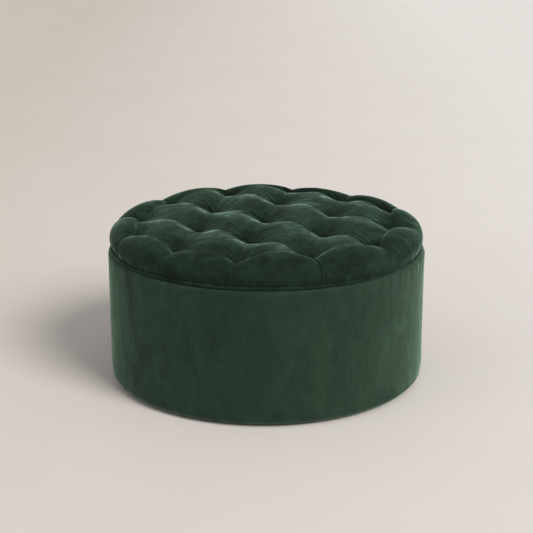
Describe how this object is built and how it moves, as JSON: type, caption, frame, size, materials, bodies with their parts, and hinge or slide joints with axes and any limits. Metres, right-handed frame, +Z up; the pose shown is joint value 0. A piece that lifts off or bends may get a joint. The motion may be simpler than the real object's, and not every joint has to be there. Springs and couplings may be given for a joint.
{
  "type": "tuffet",
  "caption": "Round upholstered storage tuffet in dark green velvet: a straight-sided drum with a diamond-tufted lid, edged with a welt, that lifts off.",
  "frame": {"origin": "on the floor, under the middle of the drum, at the soles of the glides", "axes": "+Z up through the middle of the lid, -Y towards the viewer of the picture, +X to its right"},
  "size_m": [0.8, 0.7998, 0.4253],
  "materials": {
    "velvet": "dark green cotton velvet, short pile",
    "lining_cloth": "charcoal woven lining",
    "dust_cloth": "black spunbond cloth",
    "foam": "open-cell foam",
    "plywood": "birch plywood, sanded",
    "batten_wood": "planed softwood",
    "hardboard": "smooth hardboard",
    "glide_plastic": "moulded nylon, black",
    "toggle_plastic": "moulded plastic, white",
    "steel": "zinc plated",
    "twine": "twisted twine"
  },
  "bodies": {
    "drum": {"floor_board": "plywood", "mouth_hoop": "plywood", "battens": "batten_wood", "outer_wall_board": "hardboard", "inner_wall_board": "hardboard", "wall_padding": "foam", "side_cover": "velvet", "wall_lining": "lining_cloth", "floor_lining": "lining_cloth", "dust_cover": "dust_cloth", "hoop_screws": "steel", "floor_screws": "steel", "glides": "glide_plastic", "glide_nails": "steel"},
    "lid": {"lid_board": "plywood", "foam_slab": "foam", "tufted_cover": "velvet", "tuft_ties": "twine", "tie_toggles": "toggle_plastic", "welt_piping": "twine", "welt_cover": "velvet", "lid_lining": "lining_cloth", "locating_ring": "plywood", "ring_screws": "steel"}
  },
  "joints": [
    {"name": "lid_lift", "type": "slide", "parent": "drum", "child": "lid", "axis": [0, 0, 1], "range_m": [0, 0.4]}
  ]
}
